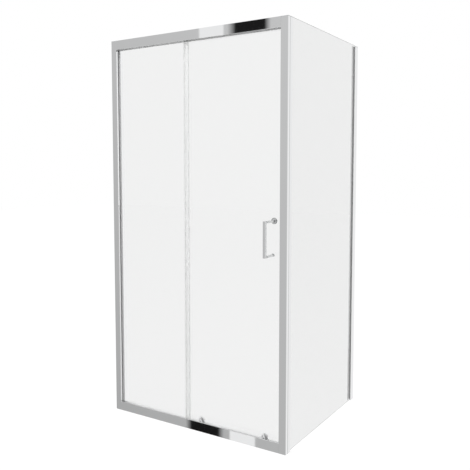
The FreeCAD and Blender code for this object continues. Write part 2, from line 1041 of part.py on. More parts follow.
def make_upper_rollers():
    plate_back = door_back + CARRIAGE_PLATE
    boss_back = wheel_y - 3.4
    half_gap = cell.WheelGap / 2
    for side, x in roller_x.items():
        plate = start(f"top_carriage_{side}")
        sketch = sketch_on(plate, "XZ_Plane", z=-plate_back)
        draw_box(sketch, -half_gap - 9.5, cell.HubTop - 6.5, half_gap + 9.5, wheel_z + 9)
        slab = pad(plate, sketch, CARRIAGE_PLATE)
        corners = edges_where(slab, lambda end: abs(end.x) > 20)
        upright = [name for name in corners if near(slab.Shape.getElement(name).Length, CARRIAGE_PLATE)]
        dress(plate, "PartDesign::Fillet", slab, upright, 6)
        bosses = sketch_on(plate, "XZ_Plane", z=-boss_back)
        for offset in (-half_gap, half_gap):
            draw_circle(bosses, offset, wheel_z, 4.5)
        pad(plate, bosses, boss_back - plate_back + 0.5)
        holes = sketch_on(plate, "XZ_Plane", z=-plate_back)
        draw_circle(holes, 0, cell.HubTop, 5)
        for offset in (-half_gap, half_gap):
            draw_circle(holes, offset, wheel_z, AXLE)
        pocket(plate, holes, 12, both=True)
        place(plate, x)

        turned(
            f"top_hub_{side}",
            [
                (0, -3.6),
                (5.5, -3.6),
                (8, -2),
                (8, 0),
                (5, 0),
                (5, cell.Glass + CARRIAGE_PLATE),
                (7, cell.Glass + CARRIAGE_PLATE),
                (7, cell.Glass + CARRIAGE_PLATE + 1.3),
                (0, cell.Glass + CARRIAGE_PLATE + 1.3),
            ],
            x,
            cell.DoorFront,
            cell.HubTop,
        )
    axles = start("top_axles")
    for name, x in wheel_places():
        spindle(axles, AXLE, door_back, wheel_y + 3.4, x, wheel_z)
        spindle(axles, 4, wheel_y + 3.4, wheel_y + 4.4, x, wheel_z)
        wheel = f"top_wheel_{name}"
        grooved_wheel(wheel, AXLE_BORE, cell.WheelRadius, cell.RollRadius, 3, x, wheel_z, wheel_y)


def make_door_stops():
    """Rubber blocks that straddle the track rib at the ends of the door's travel."""
    reach = cell.WheelGap / 2 + cell.WheelRadius
    track = cell.TrackTop - 4 + wall
    rib = cell.TrackRib
    inside = frame_depth - wall
    open_face = roller_x["left"] - reach - cell.DoorTravel - cell.RunGap
    closed_face = roller_x["right"] + reach + cell.RunGap
    for label, left, right in (
        ("door_stop_open", open_face - 22, open_face),
        ("door_stop_closed", closed_face, closed_face + 22),
    ):
        extrude_along(
            label,
            [
                (rib - 2, cell.TrackTop + 14),
                (rib - 2, track),
                (rib, track),
                (rib, cell.TrackTop),
                (rib + 2, cell.TrackTop),
                (rib + 2, track),
                (inside, track),
                (inside, cell.TrackTop + 14),
            ],
            left,
            right,
        )


# ---------------------------------------------------------------------------------------
# lower rollers: a sprung slider in a round housing holds the wheel up under the hooked rib

lower_z = cell.HookFoot - cell.LowerRoll
lower_y = cell.HookRib + wall / 2
SHELL = 1.5
HOUSING_RADIUS = 14.5
HOUSING_DEPTH = 10.5
HOUSING_FOOT = 31
ARCH_RISE = 1
BAR_LOW = 44.5
BAR_HIGH = 46.5
SLIDER = 2.6
LOWER_AXLE = 1.5
LOWER_BORE = 1.56


def make_lower_housing(side, x):
    """Moulded arch behind the pane: a shell with a slot for the slider and a screw boss."""
    arch = cell.HubFoot + ARCH_RISE
    front = door_back
    back = door_back + HOUSING_DEPTH
    body = start(f"bottom_housing_{side}")
    outer = sketch_on(body, "XZ_Plane", z=-back)
    draw_arch(outer, arch, HOUSING_FOOT, HOUSING_RADIUS)
    pad(body, outer, HOUSING_DEPTH)
    inner = sketch_on(body, "XZ_Plane", z=-front)
    draw_arch(inner, arch, HOUSING_FOOT + SHELL, HOUSING_RADIUS - SHELL)
    pocket(body, inner, HOUSING_DEPTH - SHELL)
    slot = sketch_on(body, "XY_Plane", z=HOUSING_FOOT - 1)
    draw_box(slot, -6.6, front - 1, 6.6, front + 3.6)
    pocket(body, slot, SHELL + 2, reverse=True)
    mouth = sketch_on(body, "XY_Plane", z=cell.HubFoot + HOUSING_RADIUS + 3)
    draw_box(mouth, -5, front - 1, 5, front + 3.6)
    pocket(body, mouth, 9)
    boss = sketch_on(body, "XZ_Plane", z=-(back - SHELL / 2))
    draw_circle(boss, 0, cell.HubFoot, 2.8)
    draw_circle(boss, 0, cell.HubFoot, 1.3)
    pad(body, boss, HOUSING_DEPTH - SHELL / 2)
    place(body, x)


def make_release_slider(side, x):
    """Slider that carries the lower wheel; its thumb tab stands out of the housing."""
    front = door_back + 0.5
    back = front + SLIDER
    body = start(f"release_slider_{side}")
    sketch = sketch_on(body, "XZ_Plane", z=-back)
    draw_loop(
        sketch,
        [
            (-4, lower_z - 4.5),
            (4, lower_z - 4.5),
            (6, lower_z + 4),
            (6, BAR_LOW),
            (8.8, BAR_LOW),
            (8.8, BAR_HIGH),
            (4.5, BAR_HIGH),
            (4.5, 58),
            (-4.5, 58),
            (-4.5, BAR_HIGH),
            (-8.8, BAR_HIGH),
            (-8.8, BAR_LOW),
            (-6, BAR_LOW),
            (-6, lower_z + 4),
        ],
    )
    draw_box(sketch, -3.2, cell.HubFoot - 3.4, 3.2, BAR_LOW)
    pad(body, sketch, SLIDER)
    bar = sketch_on(body, "XZ_Plane", z=-(door_back + 8.4))
    draw_box(bar, -8.8, BAR_LOW, 8.8, BAR_HIGH)
    pad(body, bar, 8.4 - 0.5 - SLIDER / 2)
    hole = sketch_on(body, "XZ_Plane", z=-back)
    draw_circle(hole, 0, lower_z, LOWER_AXLE)
    pocket(body, hole, SLIDER * 3, both=True)
    place(body, x)


def make_release_springs(side, x):
    """Two zigzag leaf springs under the slider's cross bar, one each side of the boss."""
    folds = 6
    swing = 1.5
    leaf = 0.7
    foot = HOUSING_FOOT + SHELL
    rise = (BAR_LOW - foot) / folds
    body = start(f"release_springs_{side}")
    sketch = sketch_on(body, "XZ_Plane", z=-(door_back + 8.2))
    for middle in (-6.4, 6.4):
        near_side = [(middle + (swing if n % 2 else -swing), foot + n * rise) for n in range(folds + 1)]
        far_side = [(px + leaf, pz) for px, pz in reversed(near_side)]
        draw_loop(sketch, near_side + far_side)
    pad(body, sketch, 3.6)
    place(body, x)


def make_lower_rollers():
    for side, x in roller_x.items():
        make_lower_housing(side, x)
        make_release_slider(side, x)
        make_release_springs(side, x)

        axle = start(f"bottom_axle_{side}")
        spindle(axle, LOWER_AXLE, door_back + 0.5, lower_y + 3.2, x, lower_z)
        spindle(axle, 2.6, lower_y + 3.2, lower_y + 4.2, x, lower_z)
        name = f"bottom_wheel_{side}"
        grooved_wheel(name, LOWER_BORE, cell.LowerRadius, cell.LowerRoll, 2.8, x, lower_z, lower_y)

        cap = start(f"bottom_cap_{side}")
        fin = sketch_on(cap, "XZ_Plane", z=-cell.DoorFront)
        draw_arch(fin, cell.HubFoot + 15.5, cell.HubFoot, 4.5)
        pad(cap, fin, 4)
        disc = sketch_on(cap, "XY_Plane", z=cell.HubFoot)
        front = cell.DoorFront
        draw_loop(
            disc,
            [
                (1.6, front - 5.2),
                (8, front - 5.2),
                (9.5, front - 3.7),
                (9.5, front),
                (5, front),
                (5, door_back),
                (1.6, door_back),
            ],
        )
        revolve(cap, disc)
        bore = sketch_on(cap, "XZ_Plane", z=-cell.DoorFront)
        draw_circle(bore, 0, cell.HubFoot, 1.6)
        pocket(cap, bore, 14, both=True)
        place(cap, x)
    screws = start("bottom_hub_screws")
    for x in roller_x.values():
        spindle(screws, 1.3, cell.DoorFront - 5.2, door_back + 8, x, cell.HubFoot)
        spindle(screws, 3.2, cell.DoorFront - 5.8, cell.DoorFront - 5.2, x, cell.HubFoot)


# ---------------------------------------------------------------------------------------
# fasteners


def screw_along_x(body, head_face, y, z, flip):
    """A pan-head screw along X: the head's seat is at head_face, the shank points away."""
    sketch = sketch_on(body, "XY_Plane", x=head_face, y=y, z=z, flip=flip)
    draw_loop(sketch, [(-1.6, 0), (14, 0), (14, 1.2), (0, 1.2), (0, 1.7), (-1.6, 1.7)])
    return revolve(body, sketch, "H_Axis")


def make_screws():
    rail = start("rail_screws")
    left_head = left_face - wall
    for side, z in (("top", top_port_z), ("bottom", bottom_port_z)):
        screw_along_x(rail, left_head, PORT_FRONT, z, False)
        screw_along_x(rail, left_head, PORT_BACK[side], z, False)
        screw_along_x(rail, right_start + wall, PORT_FRONT, z, True)
        screw_along_x(rail, cell.PostInner + wall, PORT_BACK[side], z, True)

    corner = start("corner_screws")
    seat = cell.StileDepth + wall
    sketch = sketch_on(corner, "XY_Plane", x=CORNER_SCREW_X, z=CORNER_SCREW_FOOT)
    draw_loop(sketch, [(0, seat - 8), (1.5, seat - 8), (1.5, seat), (3, seat), (3, seat + 2), (0, seat + 2)])
    first = revolve(corner, sketch)
    column = sketch_on(corner, "XZ_Plane")
    repeat(corner, [first], column, "V_Axis", CORNER_SCREW_PITCH, 3)


FIXING_FOOT = 250
FIXING_PITCH = 700


def make_wall_fixings():
    """Side screws that lock the wall profiles to their channels, and their cover caps."""
    screws = start("fixing_screws")
    caps = start("screw_cover_caps")
    back = frame_depth
    side_x = width - cell.SideSection
    side_y = depth - 7
    for body, stile_outline, side_outline in (
        (
            screws,
            [
                (0, back - 5),
                (1.6, back - 5),
                (1.6, back),
                (3.4, back),
                (3.4, back + 1.6),
                (0, back + 1.6),
            ],
            [(5, 0), (5, 1.6), (0, 1.6), (0, 3.4), (-1.6, 3.4), (-1.6, 0)],
        ),
        (
            caps,
            [
                (0, back + 1.8),
                (3.6, back + 1.8),
                (3.6, back),
                (5.2, back),
                (5.2, back + 2.2),
                (3.8, back + 3.4),
                (0, back + 3.4),
            ],
            [(-1.8, 0), (-1.8, 3.6), (0, 3.6), (0, 5.2), (-2.2, 5.2), (-3.4, 3.8), (-3.4, 0)],
        ),
    ):
        column = sketch_on(body, "XZ_Plane")
        stile = sketch_on(body, "XY_Plane", x=10, z=FIXING_FOOT)
        draw_loop(stile, stile_outline)
        stile_piece = revolve(body, stile)
        side = sketch_on(body, "XY_Plane", x=side_x, y=side_y, z=FIXING_FOOT)
        draw_loop(side, side_outline)
        side_piece = revolve(body, side, "H_Axis")
        repeat(body, [stile_piece, side_piece], column, "V_Axis", FIXING_PITCH, 3)


def drill_rail_screw_holes():
    """Holes in the uprights for the screws that go into the ends of the rails."""
    for label, x, sides in (
        ("left_stile", left_face, ("front", "back")),
        ("right_stile", right_start, ("front",)),
        ("corner_post", cell.PostInner, ("back",)),
    ):
        body = document.getObject(label)
        sketch = sketch_on(body, "YZ_Plane", z=x)
        for rail, z in (("top", top_port_z), ("bottom", bottom_port_z)):
            for side in sides:
                draw_circle(sketch, PORT_FRONT if side == "front" else PORT_BACK[rail], z, 1.3)
        pocket(body, sketch, wall * 3, both=True)


def drill_fixing_holes():
    """Holes for the side screws through the wall profiles and their channels."""
    for label in ("left_stile", "wall_channel_left"):
        body = document.getObject(label)
        sketch = sketch_on(body, "XZ_Plane", z=-frame_depth)
        draw_circle(sketch, 10, FIXING_FOOT, 1.8)
        cut = pocket(body, sketch, wall * 5, both=True)
        repeat(body, [cut], sketch, "V_Axis", FIXING_PITCH, 3)
    for label in ("side_wall_profile", "wall_channel_side"):
        body = document.getObject(label)
        sketch = sketch_on(body, "YZ_Plane", z=width - cell.SideSection)
        draw_circle(sketch, depth - 7, FIXING_FOOT, 1.8)
        cut = pocket(body, sketch, wall * 5, both=True)
        repeat(body, [cut], sketch, "V_Axis", FIXING_PITCH, 3)


# ---------------------------------------------------------------------------------------
# build, check and write


def faults():
    """What is wrong with the document: failed objects, empty cuts and bad solids."""
    found = []
    for thing in document.Objects:
        if "Invalid" in thing.State or "Error" in thing.State:
            found.append(f"{thing.Label}: {thing.State}")
        if thing.TypeId == "PartDesign::Pocket":
            before = thing.BaseFeature.Shape.Volume
            if before - thing.Shape.Volume < 0.01:
                found.append(f"{thing.Label}: cuts nothing")
        if thing.TypeId == "Sketcher::SketchObject" and not thing.FullyConstrained:
            found.append(f"{thing.Label}: not fully constrained")
    for body in sub_parts():
        if body.Shape.isNull() or not body.Shape.isValid() or not body.Shape.Solids:
            found.append(f"{body.Label}: no valid solid")
    return found


def sub_parts():
    return [thing for thing in document.Objects if thing.TypeId == "PartDesign::Body"]


make_wall_channels()
make_stiles()
make_corner_post()
extrude_up("side_wall_profile", side_profile_section(), 0, frame_top)
make_top_rail()
make_bottom_rail()
make_end_caps()
make_fixed_pane()
glazing_strip("glazing_strip_top", height - 28, GLAZED_TOP, GLAZED_TOP + 3)
glazing_strip("glazing_strip_bottom", 22, GLAZED_FOOT, wall)
make_edge_trim()
make_side_pane()
make_door_pane()
make_door_seals()
make_handle()
make_upper_rollers()
make_door_stops()
make_lower_rollers()
drill_rail_screw_holes()
drill_fixing_holes()
make_screws()
make_wall_fixings()
document.recompute()

problems = faults()
if problems:
    raise RuntimeError("; ".join(problems))
os.makedirs("parts", exist_ok=True)
for body in sub_parts():
    body.Shape.exportStep(f"parts/{body.Label}.step")
    print(body.Label, len(body.Shape.Solids), "solids", round(body.Shape.Volume), "mm3")
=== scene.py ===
import math

import bmesh
import bpy
from mathutils import Matrix, Vector


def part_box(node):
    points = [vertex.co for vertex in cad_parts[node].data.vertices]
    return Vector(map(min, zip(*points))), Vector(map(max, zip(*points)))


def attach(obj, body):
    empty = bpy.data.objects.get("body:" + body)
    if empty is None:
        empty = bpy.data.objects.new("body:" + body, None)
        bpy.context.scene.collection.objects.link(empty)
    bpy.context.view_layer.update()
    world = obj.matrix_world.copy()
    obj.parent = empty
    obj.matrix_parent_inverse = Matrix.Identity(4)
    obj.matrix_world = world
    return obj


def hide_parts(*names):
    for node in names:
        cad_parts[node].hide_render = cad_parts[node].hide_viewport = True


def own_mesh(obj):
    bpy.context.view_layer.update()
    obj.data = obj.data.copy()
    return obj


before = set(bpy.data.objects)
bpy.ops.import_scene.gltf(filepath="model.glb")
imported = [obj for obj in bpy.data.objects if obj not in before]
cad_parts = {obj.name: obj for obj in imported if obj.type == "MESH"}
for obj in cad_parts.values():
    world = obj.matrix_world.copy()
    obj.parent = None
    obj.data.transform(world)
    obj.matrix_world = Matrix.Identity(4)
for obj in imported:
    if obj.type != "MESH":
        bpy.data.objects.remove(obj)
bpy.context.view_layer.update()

# ------------------------------------------------------------------ wall channels
# Two plain U extrusions of anodised aluminium, screwed to the walls before anything else.
# The profiles of the enclosure slide over them, so only their flanges and ends show.


class Wire:
    """One output socket, with Python's arithmetic written out as Math nodes."""

    def __init__(self, board, socket):
        self.board = board
        self.socket = socket

    def maths(self, operation, first, second=None, clamp=False):
        settings = {"operation": operation, "use_clamp": clamp}
        values = {0: first} if second is None else {0: first, 1: second}
        return self.board.node("ShaderNodeMath", settings, values)

    def __add__(self, other):
        return self.maths("ADD", self, other)

    def __radd__(self, other):
        return self.maths("ADD", other, self)

    def __sub__(self, other):
        return self.maths("SUBTRACT", self, other)

    def __rsub__(self, other):
        return self.maths("SUBTRACT", other, self)

    def __mul__(self, other):
        return self.maths("MULTIPLY", self, other)

    def __rmul__(self, other):
        return self.maths("MULTIPLY", other, self)

    def __truediv__(self, other):
        return self.maths("DIVIDE", self, other)

    def __gt__(self, other):
        return self.maths("GREATER_THAN", self, other)

    def __lt__(self, other):
        return self.maths("LESS_THAN", self, other)

    def __abs__(self):
        return self.maths("ABSOLUTE", self)

    def clamped(self):
        return self.maths("ADD", self, 0.0, clamp=True)

    def output(self, name):
        return Wire(self.board, self.socket.node.outputs[name])


class Board:
    """A node tree that nodes are put on and wired up in one call each."""

    def __init__(self, tree):
        self.tree = tree

    def node(self, kind, settings=None, values=None, output=0):
        made = self.tree.nodes.new(kind)
        for name, setting in (settings or {}).items():
            setattr(made, name, setting)
        for name, value in (values or {}).items():
            if isinstance(value, Wire):
                self.tree.links.new(value.socket, made.inputs[name])
            else:
                made.inputs[name].default_value = value
        return Wire(self, made.outputs[output]) if made.outputs else None

    def blend(self, factor, first, second):
        """A colour between two others, through a Mix node's sockets for colours."""
        factor_in, first_in, second_in, colour_out = 0, 6, 7, 2
        sockets = {factor_in: factor, first_in: first, second_in: second}
        return self.node("ShaderNodeMix", {"data_type": "RGBA"}, sockets, output=colour_out)

    def along(self, stretch, scale, detail=2.0):
        """Noise on the piece's own place, drawn out along the axes where stretch is small."""
        place = self.node("ShaderNodeTexCoord", output="Object")
        drawn = self.node("ShaderNodeMapping", values={"Vector": place, "Scale": stretch})
        values = {"Vector": drawn, "Scale": scale, "Detail": detail}
        return self.node("ShaderNodeTexNoise", values=values)


class Finish(Board):
    """One finish of the enclosure: a procedural material around a Principled shader."""

    def __init__(self, name):
        self.material = bpy.data.materials.new(name)
        self.material.use_nodes = True
        super().__init__(self.material.node_tree)
        self.tree.nodes.clear()

    def surface(self, **sockets):
        values = {name.replace("_", " "): value for name, value in sockets.items()}
        shader = self.node("ShaderNodeBsdfPrincipled", values=values)
        self.node("ShaderNodeOutputMaterial", values={"Surface": shader})
        return self

    def bump(self, height, distance, strength):
        values = {"Height": height, "Distance": distance, "Strength": strength}
        return self.node("ShaderNodeBump", values=values)


def paint(finish, *nodes):
    """Gives CAD nodes a finish."""
    for name in nodes:
        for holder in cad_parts[name].material_slots:
            holder.material = finish.material


# how a texture is stretched: the same all round, or drawn out along Z or along X
EVEN = (1.0, 1.0, 1.0)
UPRIGHT = (1.0, 1.0, 0.004)
LEVEL = (0.004, 1.0, 1.0)

plain_aluminium = Finish("plain_anodised_aluminium")
etched_lines = plain_aluminium.along(UPRIGHT, 900.0)
etched_cloud = plain_aluminium.along((1.0, 1.0, 0.3), 14.0)
plain_aluminium.surface(
    Base_Color=plain_aluminium.blend(etched_cloud, (0.50, 0.51, 0.52, 1), (0.58, 0.585, 0.59, 1)),
    Metallic=1.0,
    Roughness=0.30 + etched_lines * 0.12,
    Normal=plain_aluminium.bump(etched_lines, 0.00004, 0.4),
)
paint(plain_aluminium, "wall_channel_left", "wall_channel_side")

# ------------------------------------------------------------------ stiles and corner post
# Bright polished aluminium extrusions, sawn square at both ends. Their long edges are
# slightly rounded by the die, and the polish leaves faint lines along the length.


def polished(name, stretch):
    finish = Finish(name)
    lines = finish.along(stretch, 700.0)
    cloud = finish.along((1.0, 1.0, 0.2), 6.0)
    return finish.surface(
        Base_Color=finish.blend(cloud, (0.775, 0.78, 0.785, 1), (0.815, 0.82, 0.825, 1)),
        Metallic=1.0,
        Roughness=0.010 + lines * 0.016,
        Normal=finish.bump(lines, 0.00001, 0.06),
    )


def satin(name, stretch):
    """The pale skin inside a section, where the polish doesn't reach. Its near-white, barely
    metallic colour is also painted light, which lifts the shade inside the section.
    """
    finish = Finish(name)
    lines = finish.along(stretch, 900.0)
    return finish.surface(
        Base_Color=finish.blend(lines, (0.92, 0.922, 0.925, 1), (0.96, 0.962, 0.965, 1)),
        Metallic=0.1,
        Roughness=0.42 + lines * 0.1,
        Normal=finish.bump(lines, 0.00003, 0.3),
    )


def merged_copy(node):
    """A copy of a node's mesh to reshape, with the points that meet made one."""
    meeting = 0.000005
    shape = bmesh.new()
    shape.from_mesh(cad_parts[node].data)
    bmesh.ops.remove_doubles(shape, verts=shape.verts, dist=meeting)
    return shape


def join_flat_faces(shape):
    """Joins the triangles of each flat face."""
    flat = 0.01
    bmesh.ops.dissolve_limit(shape, angle_limit=flat, verts=shape.verts, edges=shape.edges)


def meshed(shape, name):
    """The reshaped copy as a mesh."""
    mesh = bpy.data.meshes.new(name)
    shape.to_mesh(mesh)
    shape.free()
    return mesh


def settle(name, mesh, body, *finishes, replaced=(), smooth=False):
    """Puts a finished mesh on its body, in place of the CAD nodes that it stands for."""
    for place, finish in enumerate(finishes):
        if place < len(mesh.materials):
            mesh.materials[place] = finish.material
        else:
            mesh.materials.append(finish.material)
    mesh.polygons.foreach_set("use_smooth", [smooth] * len(mesh.polygons))
    piece = bpy.data.objects.new(name, mesh)
    bpy.context.scene.collection.objects.link(piece)
    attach(piece, body)
    if replaced:
        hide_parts(*replaced)
    return piece


LONG = 0.3
SHARP = 0.6
POLISH_REACH = 0.0006


def ease_long_edges(node, finish, inner_painted_light_finish, radius):
    """A dressed copy of an extrusion: long edges rounded, and the skin inside left satin, painted
    pale to lift the shade there.
    """
    low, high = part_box(node)
    across = [axis for axis in range(3) if high[axis] - low[axis] < LONG]
    shape = merged_copy(node)
    join_flat_faces(shape)
    long_edges = [
        edge
        for edge in shape.edges
        if edge.calc_length() > LONG
        and len(edge.link_faces) == 2
        and edge.calc_face_angle() > SHARP
    ]
    bmesh.ops.bevel(
        shape,
        geom=long_edges,
        offset=radius,
        segments=2,
        profile=0.5,
        affect="EDGES",
        clamp_overlap=False,
    )
    bmesh.ops.triangulate(shape, faces=shape.faces)
    for face in shape.faces:
        middle = face.calc_center_median()
        shut_in = all(
            low[axis] + POLISH_REACH < middle[axis] < high[axis] - POLISH_REACH for axis in across
        )
        face.material_index = int(shut_in)
    mesh = meshed(shape, node + "_eased")
    settle(node + "_eased", mesh, "frame", finish, inner_painted_light_finish, replaced=(node,))


polished_upright = polished("polished_aluminium_upright", UPRIGHT)
# the inner finish is near white: painted light that lifts the shade inside the uprights' sections
satin_painted_light_upright = satin("satin_aluminium_upright", UPRIGHT)
for upright in ("left_stile", "right_stile", "corner_post", "side_wall_profile"):
    ease_long_edges(upright, polished_upright, satin_painted_light_upright, radius=0.0004)

# ------------------------------------------------------------------ rails
# The head rail and the sill rail, extruded in the same bright alloy and drawn along X.
# Each has a fascia, fins for the fixed pane's glazing strip and a rib for the wheels.

polished_level = polished("polished_aluminium_level", LEVEL)
# the rails' inner finish is near white too: painted light against the shade inside them
satin_painted_light_level = satin("satin_aluminium_level", LEVEL)
for rail in ("top_rail", "bottom_rail"):
    ease_long_edges(rail, polished_level, satin_painted_light_level, radius=0.0003)

# ------------------------------------------------------------------ screws and caps
# Stainless pan-head screws join the rails and stiles; grey moulded caps cover the side
# screws, and grey moulded plates close the tops of the uprights.

stainless = Finish("stainless_screw_steel")
turning = stainless.along(EVEN, 1500.0, 3.0)
stainless.surface(
    Base_Color=(0.56, 0.56, 0.57, 1),
    Metallic=1.0,
    Roughness=0.22 + turning * 0.12,
    Normal=stainless.bump(turning, 0.00002, 0.3),
)
paint(
    stainless,
    "rail_screws",
    "corner_screws",
    "fixing_screws",
    "handle_bolts",
    "top_axles",
    "bottom_axle_left",
    "bottom_axle_right",
    "bottom_hub_screws",
)


def moulded(name, light, dark, rough):
    """Injection-moulded plastic: a fine spark texture and a slight cloud in the colour."""
    finish = Finish(name)
    texture = finish.along(EVEN, 2500.0)
    cloud = finish.along(EVEN, 60.0)
    return finish.surface(
        Base_Color=finish.blend(cloud, dark, light),
        Roughness=rough + texture * 0.15,
        Normal=finish.bump(texture, 0.00003, 0.35),
    )


grey_plastic = moulded("grey_moulded_plastic", (0.40, 0.41, 0.42, 1), (0.35, 0.36, 0.37, 1), 0.38)
paint(grey_plastic, "profile_end_caps", "screw_cover_caps")

# ------------------------------------------------------------------ gaskets and stops
# Extruded rubber, pushed into the pockets: dark bulbs at the fixed pane's front and near
# the wall, pale lips and strips elsewhere, and two dark blocks that stop the door.


def rubber(name, stretch, light, dark):
    finish = Finish(name)
    lines = finish.along(stretch, 600.0)
    return finish.surface(
        Base_Color=finish.blend(lines, dark, light),
        Roughness=0.55 + lines * 0.2,
        Normal=finish.bump(lines, 0.00006, 0.5),
    )


DARK_RUBBER = ((0.050, 0.051, 0.055, 1), (0.032, 0.033, 0.036, 1))
PALE_RUBBER = ((0.86, 0.865, 0.87, 1), (0.80, 0.805, 0.81, 1))
upright_rubber = rubber("dark_rubber_upright", UPRIGHT, *DARK_RUBBER)
level_rubber = rubber("dark_rubber_level", LEVEL, *DARK_RUBBER)
pale_rubber = rubber("pale_rubber_upright", UPRIGHT, *PALE_RUBBER)
pale_level_rubber = rubber("pale_rubber_level", LEVEL, *PALE_RUBBER)
paint(level_rubber, "door_stop_open", "door_stop_closed")

# a face that lies on the glass renders too dark, so the dressed copies keep this far off it
AIR = 0.0003
ON_THE_GLASS = 0.00005


def clear_of_pane(node, body, finish, pane, axis=1):
    """A dressed copy of a piece that touches a pane, with a film of air left at the glass."""
    shape = merged_copy(node)
    low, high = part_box(pane)
    for corner in shape.verts:
        for side, step in ((low, -AIR), (high, AIR)):
            if abs(corner.co[axis] - side[axis]) < ON_THE_GLASS:
                corner.co[axis] += step
                break
    join_flat_faces(shape)
    bmesh.ops.triangulate(shape, faces=shape.faces)
    mesh = meshed(shape, node + "_seated")
    settle(node + "_seated", mesh, body, finish, replaced=(node,))


clear_of_pane("glazing_strip_top", "frame", pale_level_rubber, "fixed_glass")
clear_of_pane("glazing_strip_bottom", "frame", pale_level_rubber, "fixed_glass")
clear_of_pane("side_gasket_post", "frame", pale_rubber, "side_glass", axis=0)


class Pattern(Board):
    """A Geometry Nodes tree with named sizes, for what repeats or is swept along a path."""

    def __init__(self, name, *sizes):
        tree = bpy.data.node_groups.new(name, "GeometryNodeTree")
        super().__init__(tree)
        plug = tree.interface.new_socket
        self.keys = {
            size: plug(size, in_out="INPUT", socket_type="NodeSocketFloat").identifier
            for size in sizes
        }
        plug("Geometry", in_out="OUTPUT", socket_type="NodeSocketGeometry")
        self.sizes = self.node("NodeGroupInput")

    def size(self, name):
        return self.sizes.output(name)

    def vector(self, x=0.0, y=0.0, z=0.0):
        return self.node("ShaderNodeCombineXYZ", values={"X": x, "Y": y, "Z": z})

    def curve(self, shape, **values):
        return self.node("GeometryNodeCurvePrimitive" + shape, values=values)

    def swept(self, path, section, caps=False):
        values = {"Curve": path, "Profile Curve": section, "Fill Caps": caps}
        return self.node("GeometryNodeCurveToMesh", values=values)

    def moved(self, geometry, place=(0.0, 0.0, 0.0), turn=(0.0, 0.0, 0.0)):
        values = {"Geometry": geometry, "Translation": place, "Rotation": turn}
        return self.node("GeometryNodeTransform", values=values)

    def placed(self, points, part, turn=(0.0, 0.0, 0.0)):
        values = {"Points": points, "Instance": part, "Rotation": turn}
        return self.node("GeometryNodeInstanceOnPoints", values=values)

    def joined(self, *parts):
        gathered = self.tree.nodes.new("GeometryNodeJoinGeometry")
        for part in parts:
            self.tree.links.new(part.socket, gathered.inputs["Geometry"])
        return Wire(self, gathered.outputs["Geometry"])

    def close(self, geometry, finish):
        real = self.node("GeometryNodeRealizeInstances", values={"Geometry": geometry})
        values = {"Geometry": real, "Material": finish.material}
        dressed = self.node("GeometryNodeSetMaterial", values=values)
        self.node("NodeGroupOutput", values={"Geometry": dressed})

    def made(self, name, **sizes):
        """The pattern at these sizes, as a plain mesh."""
        holder = bpy.data.objects.new(name, bpy.data.meshes.new(name + "_seed"))
        bpy.context.scene.collection.objects.link(holder)
        modifier = holder.modifiers.new("pattern", "NODES")
        modifier.node_group = self.tree
        for size, value in sizes.items():
            modifier[self.keys[size.replace("_", " ")]] = value
        seen = holder.evaluated_get(bpy.context.evaluated_depsgraph_get())
        mesh = bpy.data.meshes.new_from_object(seen)
        holder.modifiers.remove(modifier)
        bpy.data.objects.remove(holder)
        return mesh


# a gasket is one rounded section, swept up the pocket; sizes are in metres
swept_gasket = Pattern("swept_gasket", "Left", "Right", "Front", "Back", "Foot", "Top", "Rounding")
left, right = swept_gasket.size("Left"), swept_gasket.size("Right")
front, back = swept_gasket.size("Front"), swept_gasket.size("Back")
section = swept_gasket.curve("Quadrilateral", Width=back - front, Height=right - left)
section = swept_gasket.node(
    "GeometryNodeFilletCurve",
    {"mode": "POLY"},
    {"Curve": section, "Count": 4, "Radius": swept_gasket.size("Rounding")},
)
middle_x, middle_y = (left + right) * 0.5, (front + back) * 0.5
line = swept_gasket.curve(
    "Line",
    Start=swept_gasket.vector(middle_x, middle_y, swept_gasket.size("Foot")),
    End=swept_gasket.vector(middle_x, middle_y, swept_gasket.size("Top")),
)
swept_gasket.close(swept_gasket.swept(line, section, caps=True), upright_rubber)


def gasket(name, box, finish, rounding, nearer=(0, 0), farther=(0, 0), replaced=()):
    """A rounded gasket in a box whose near and far corners move by these steps in X and Y."""
    low, high = box
    mesh = swept_gasket.made(
        name,
        Left=low[0] + nearer[0],
        Right=high[0] + farther[0],
        Front=low[1] + nearer[1],
        Back=high[1] + farther[1],
        Foot=low[2],
        Top=high[2],
        Rounding=rounding,
    )
    settle(name, mesh, "frame", finish, replaced=replaced)


front_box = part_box("fixed_gasket_front")
gasket(
    "fixed_gasket_front_bulb",
    front_box,
    upright_rubber,
    rounding=0.0012,
    farther=(0, -0.003),
    replaced=("fixed_gasket_front",),
)
gasket(
    "fixed_gasket_front_lip",
    front_box,
    pale_rubber,
    rounding=0.0006,
    nearer=(0, 0.0056),
    farther=(-0.0001, -AIR),
)
gasket(
    "fixed_gasket_back_strip",
    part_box("fixed_gasket_back"),
    pale_rubber,
    rounding=0.0012,
    nearer=(0, 0.0008),
    replaced=("fixed_gasket_back",),
)
gasket(
    "side_gasket_wall_bulb",
    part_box("side_gasket_wall"),
    upright_rubber,
    rounding=0.0024,
    nearer=(0.0012, 0.0035),
    farther=(-AIR, 0),
    replaced=("side_gasket_wall",),
)

# ------------------------------------------------------------------ panes
# Clear toughened glass, 5 mm thick, with ground edges. The faces are polished float
# glass; the narrow edges and their arrises are ground, and look pale and matt.


def pane_glass(name, axis, tint, edge_tint):
    """Float glass; its ground edges are the faces that don't look along the given axis."""
    finish = Finish(name)
    normal = finish.node("ShaderNodeNewGeometry", output="True Normal")
    parts = finish.node("ShaderNodeSeparateXYZ", values={"Vector": normal})
    facing = 0.9
    edge = abs(parts.output(axis)) < facing
    ripple = finish.along(EVEN, 3.0)
    return finish.surface(
        Base_Color=finish.blend(edge, tint, edge_tint),
        Roughness=edge * 0.05,
        IOR=1.5,
        Transmission_Weight=1.0,
        Normal=finish.bump(ripple, 0.0004, 0.03),
    )


